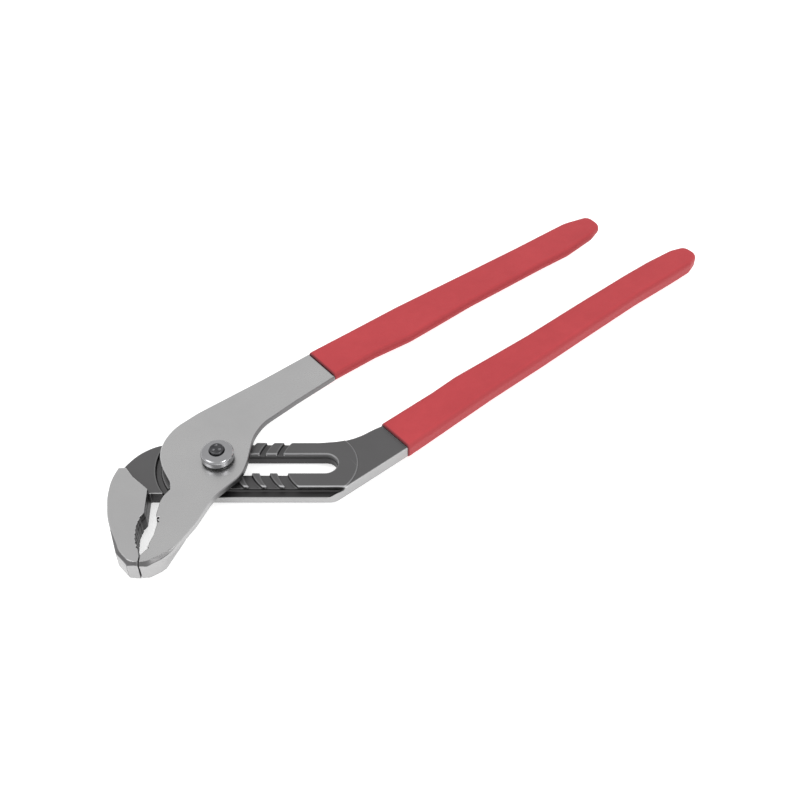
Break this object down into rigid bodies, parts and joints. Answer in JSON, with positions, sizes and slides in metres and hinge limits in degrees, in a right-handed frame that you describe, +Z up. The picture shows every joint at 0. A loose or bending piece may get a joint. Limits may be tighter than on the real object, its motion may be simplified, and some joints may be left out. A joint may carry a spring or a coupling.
{
  "type": "tongue and groove pliers",
  "caption": "Adjustable slip joint pliers with curved toothed jaws, a slotted lever with arc grooves, a bolted pivot and dipped grips.",
  "frame": {"origin": "pivot bolt axis in the first position, on the flat underside of the bolt head", "axes": "+X along the slot from the jaws towards the handles, +Y across the levers towards the upper handle, +Z up along the pivot bolt from its head to its nut"},
  "size_m": [0.2589, 0.213, 0.0179],
  "materials": {
    "machined_steel": "dark machined lap faces, satin jaw and edges",
    "polished_steel": "fine satin polish",
    "bolt_steel": "dark oiled steel, staked end",
    "nut_chrome": "bright plating",
    "grip_vinyl": "matte dipped vinyl"
  },
  "bodies": {
    "lower": {"lower_lever": "machined_steel", "lower_grip": "grip_vinyl"},
    "carriage": {"pivot_bolt": "bolt_steel", "pivot_nut": "nut_chrome"},
    "upper": {"upper_lever": "polished_steel", "upper_grip": "grip_vinyl"}
  },
  "joints": [
    {"name": "adjust_slide", "type": "slide", "parent": "lower", "child": "carriage", "axis": [1, 0, 0], "range_m": [0, 0.0432]},
    {"name": "jaw_pivot", "type": "hinge", "parent": "carriage", "child": "upper", "pos_m": [0, 0, 0.01], "axis": [0, 0, 1], "range_deg": [0, 60]}
  ]
}
